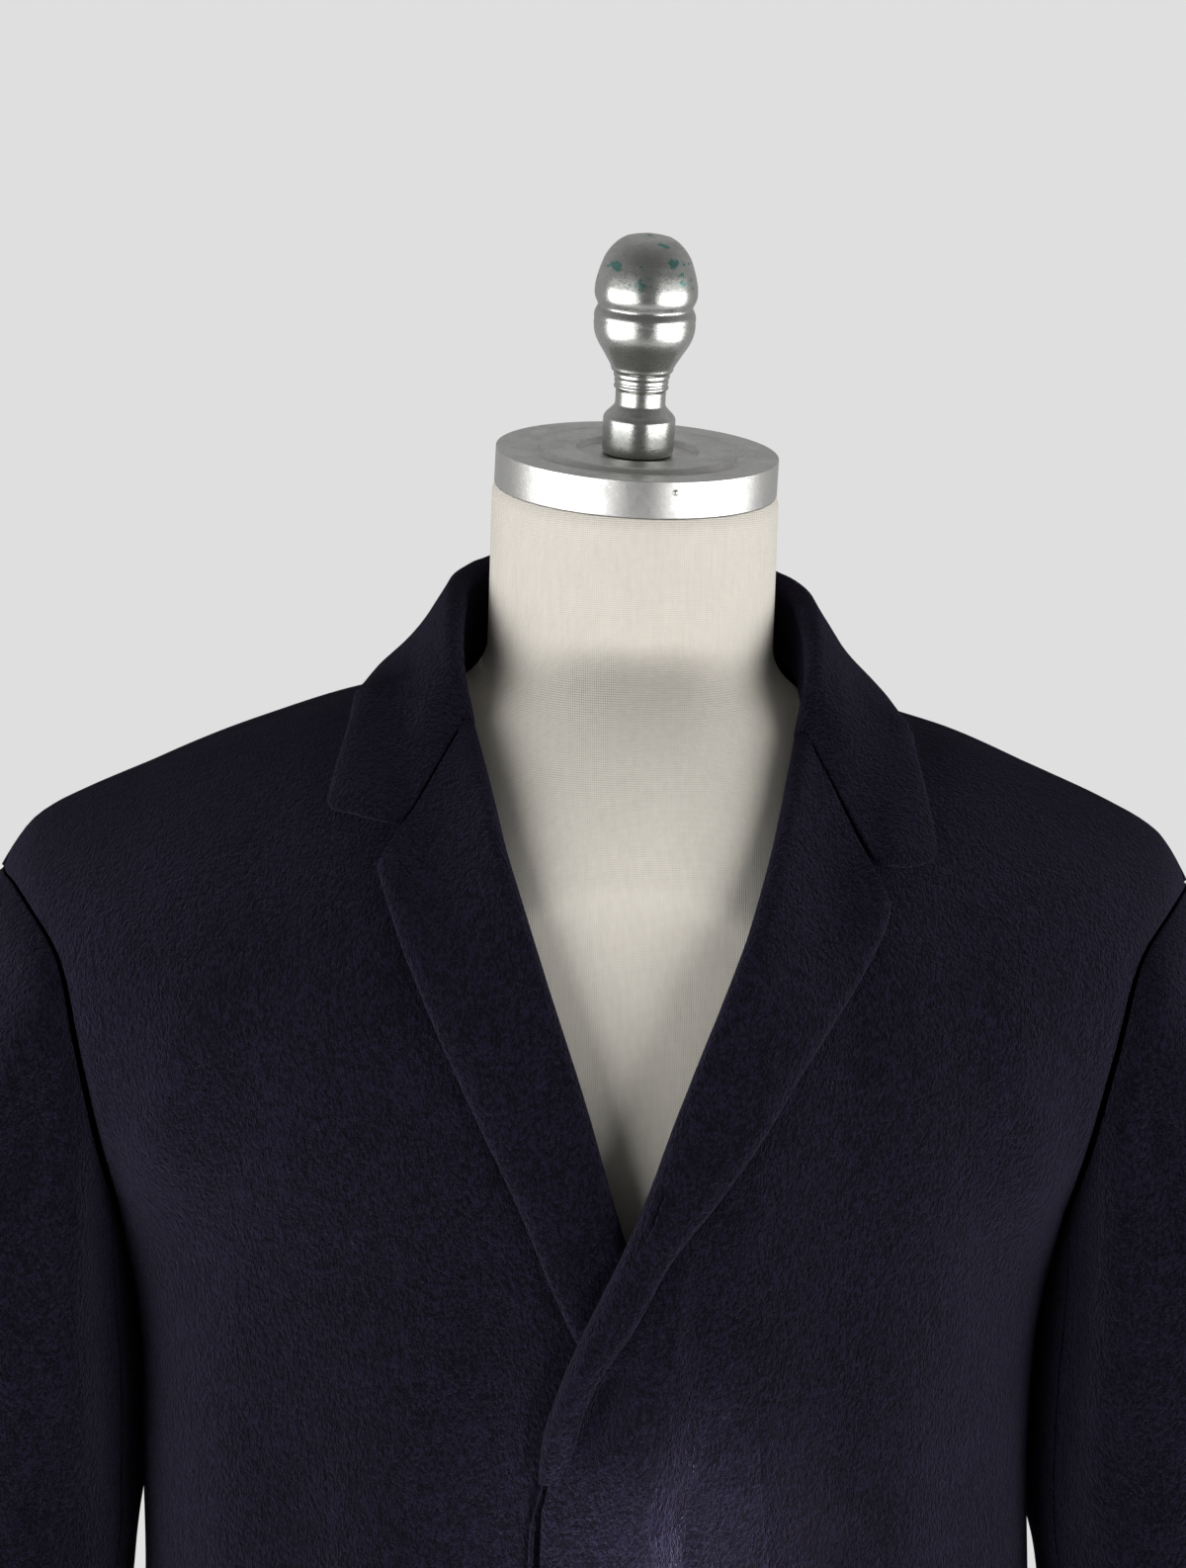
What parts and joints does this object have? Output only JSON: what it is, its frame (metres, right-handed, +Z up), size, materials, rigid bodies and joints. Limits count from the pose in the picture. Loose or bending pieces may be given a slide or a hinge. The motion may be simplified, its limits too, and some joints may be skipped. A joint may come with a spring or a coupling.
{
  "type": "wool overcoat on a tailor's form",
  "caption": "Single-breasted wool overcoat with slim notch lapels and a concealed fly, on a limbless tailor's form with a turned knob and a round stand",
  "frame": {"origin": "centre of the stand's round base, on the floor", "axes": "+Z up the pole to the knob, -Y the way that the coat's front faces, +X towards the wearer's left"},
  "size_m": [0.6622, 0.38, 1.6697],
  "materials": {
    "wool": "brushed midnight navy coating with a short soft nap",
    "canvas": "smooth cream canvas stretched over the form",
    "aluminium": "turned and worn, satin",
    "patina_metal": "cast and turned, dull grey-green patina",
    "stand_metal": "plain grey, satin"
  },
  "bodies": {
    "root": {"front_left": "wool", "front_right": "wool", "back_left": "wool", "back_right": "wool", "sleeve_left_top": "wool", "sleeve_left_under": "wool", "sleeve_right_top": "wool", "sleeve_right_under": "wool", "lapel_left": "wool", "lapel_right": "wool", "collar": "wool", "fly": "wool", "form_torso": "canvas", "neck_cap": "aluminium", "finial": "patina_metal", "stand_pole": "stand_metal", "stand_base": "stand_metal"}
  },
  "joints": []
}
